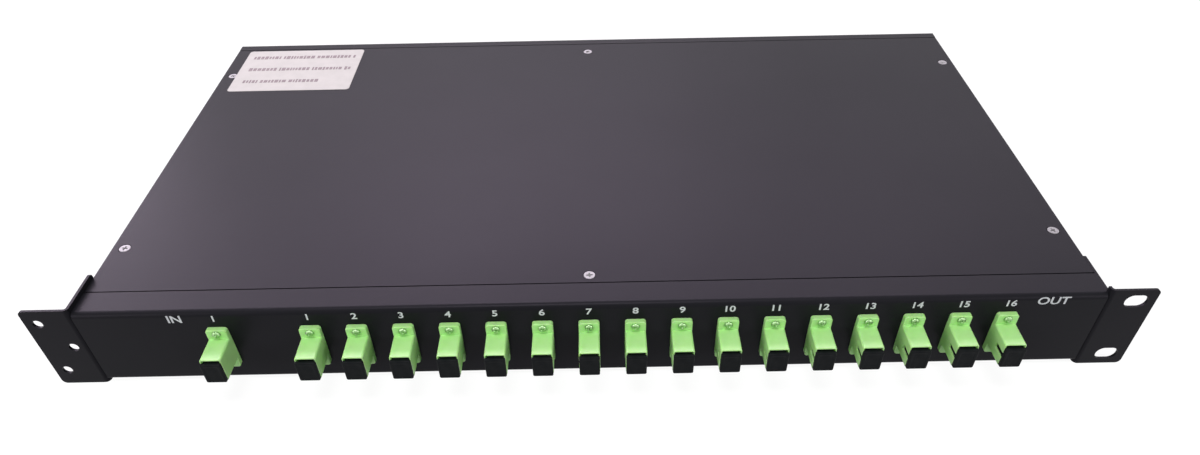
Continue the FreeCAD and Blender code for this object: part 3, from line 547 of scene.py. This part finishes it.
def makeLabelPrint():  # rows of plain bars, laid like lines of print
    s = {"rows": ((9.0, 4.6, 68.5, 5), (24.2, 5.6, 67.5, 11), (39.2, 6.2, 52.5, 8)),  # down, start, end, seed
         "high": 4.1 * mm, "lowest": 0.75, "thick": 0.03 * mm, "wide": (0.9, 2.3), "gap": 0.6, "wordGap": 1.7,
         "word": (4, 9)}
    low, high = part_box("cover_label")
    form = bmesh.new()
    for down, start, end, seed in s["rows"]:
        choice = random.Random(seed)
        x, left = start, choice.randint(*s["word"])  # left is the number of bars to the end of the word
        while True:
            wide = choice.uniform(*s["wide"])
            if x + wide > end:
                break
            middle = Vector((low.x + (x + wide / 2) * mm, high.y - down * mm, high.z + s["thick"]))
            tall = s["high"] * choice.uniform(s["lowest"], 1.0)
            size = Matrix.Diagonal((wide * mm, tall, s["thick"], 1))
            bmesh.ops.create_cube(form, size=1, matrix=Matrix.Translation(middle) @ size)
            left -= 1
            x += wide + (s["gap"] if left else s["wordGap"])
            if not left:
                left = choice.randint(*s["word"])
    piece = newPiece("labelBars", form)
    piece.data.materials.append(darkInk)
    attach(piece, "box")


makePanelPrint()
makeLabelPrint()
print("print made")


# floor, world, lamps and camera
def shownRays(tree):  # 1 for the rays of the camera, of gloss and of glass, 0 for the light that bounces
    path = tree.nodes.new("ShaderNodeLightPath")
    total = path.outputs["Is Camera Ray"]
    for name in ("Is Glossy Ray", "Is Transmission Ray"):
        add = tree.nodes.new("ShaderNodeMath")
        add.operation = "MAXIMUM"
        tree.links.new(total, add.inputs[0])
        tree.links.new(path.outputs[name], add.inputs[1])
        total = add.outputs[0]
    return total


def makeFloor():
    s = {"size": 12.0, "glow": 0.93, "paint": (0.11, 0.11, 0.11), "bounce": (0.16, 0.16, 0.16)}
    half = s["size"] / 2
    corners = [(-half, -half, 0), (half, -half, 0), (half, half, 0), (-half, half, 0)]
    mesh = bpy.data.meshes.new("floor")
    mesh.from_pydata(corners, [], [(0, 1, 2, 3)])
    floor = addObject("floor", mesh)
    material = bpy.data.materials.new("paleFloor")
    material.use_nodes = True
    tree = material.node_tree
    tree.nodes.clear()
    glow = tree.nodes.new("ShaderNodeEmission")
    glow.inputs["Strength"].default_value = s["glow"]
    paint = tree.nodes.new("ShaderNodeBsdfDiffuse")
    paint.inputs["Color"].default_value = (*s["paint"], 1)
    shown = tree.nodes.new("ShaderNodeAddShader")
    tree.links.new(glow.outputs[0], shown.inputs[0])
    tree.links.new(paint.outputs[0], shown.inputs[1])
    bounce = tree.nodes.new("ShaderNodeBsdfDiffuse")
    bounce.inputs["Color"].default_value = (*s["bounce"], 1)
    mix = tree.nodes.new("ShaderNodeMixShader")
    tree.links.new(shownRays(tree), mix.inputs["Fac"])
    tree.links.new(bounce.outputs[0], mix.inputs[1])
    tree.links.new(shown.outputs[0], mix.inputs[2])
    out = tree.nodes.new("ShaderNodeOutputMaterial")
    tree.links.new(mix.outputs[0], out.inputs["Surface"])
    mesh.materials.append(material)


def makeWorld():
    s = {"fill": 0.12, "shown": 1.0}
    world = bpy.data.worlds.new("studio")
    bpy.context.scene.world = world
    world.use_nodes = True
    tree = world.node_tree
    background = tree.nodes["Background"]
    background.inputs["Color"].default_value = (1, 1, 1, 1)
    strength = addRange(tree, shownRays(tree), s["fill"], s["shown"], 0.0, 1.0)
    tree.links.new(strength, background.inputs["Strength"])


def addLamp(name, spot, size, power, colour):  # each lamp looks at the origin
    data = bpy.data.lights.new(name, "AREA")
    data.shape = "RECTANGLE"
    data.size, data.size_y = size
    data.energy = power
    data.color = colour
    lamp = addObject(name, data)
    lamp.location = spot
    lamp.rotation_mode = "QUATERNION"
    lamp.rotation_quaternion = (-Vector(spot)).to_track_quat("-Z", "Y")


def makeLamps():
    s = {"away": 2.3, "tint": (1.03, 0.885, 1.06), "white": (1, 1, 1),
         "behind": (  # azimuth and elevation in degrees, size in metres, power in watts
             ("sideLeft", -75, 35, (0.6, 0.6), 11), ("backLeftLow", -50, 25, (0.9, 0.5), 18),
             ("backLeft", -30, 42, (1.2, 0.5), 15), ("backMiddle", -8, 40, (1.2, 0.5), 8.5),
             ("backWide", 12, 42, (1.6, 0.5), 16), ("backRight", 50, 38, (0.9, 0.5), 3)),
         "plain": (
             ("overhead", (-0.2, -0.6, 2.2), (0.9, 0.6), 26),
             ("frontLeft", (-1.7, -1.5, 0.8), (1.0, 1.0), 17.5),
             ("frontRight", (1.7, -1.5, 0.8), (1.0, 1.0), 18))}
    for name, azimuth, elevation, size, power in s["behind"]:  # these make the sheen on the cover
        turn, tilt = math.radians(azimuth), math.radians(elevation)
        way = Vector((math.cos(tilt) * math.sin(turn), math.cos(tilt) * math.cos(turn), math.sin(tilt)))
        addLamp(name, way * s["away"], size, power, s["tint"])
    for name, spot, size, power in s["plain"]:
        addLamp(name, spot, size, power, s["white"])


def makeCamera():
    s = {"place": (4.06 * mm, -259.61 * mm, 282.75 * mm),  # from the middle of the panel's lower edge
         "pitch": -43.636, "yaw": -0.051, "roll": -1.083, "lens": 25.13, "sensor": 36.0, "shiftY": 0.0743,
         "clipStart": 0.01}
    data = bpy.data.cameras.new("camera")
    data.sensor_width = s["sensor"]
    data.lens = s["lens"]
    data.shift_y = s["shiftY"]
    data.clip_start = s["clipStart"]
    camera = addObject("camera", data)
    look = Matrix.Rotation(math.radians(s["yaw"]), 4, "Z")
    look = look @ Matrix.Rotation(math.radians(90 + s["pitch"]), 4, "X")
    look = look @ Matrix.Rotation(math.radians(s["roll"]), 4, "Z")
    camera.matrix_world = Matrix.Translation(Vector(s["place"]) + Vector((0, panelY, 0))) @ look
    bpy.context.scene.camera = camera


makeFloor()
makeWorld()
makeLamps()
makeCamera()
bpy.context.scene.view_settings.view_transform = "Standard"
print("stage made")
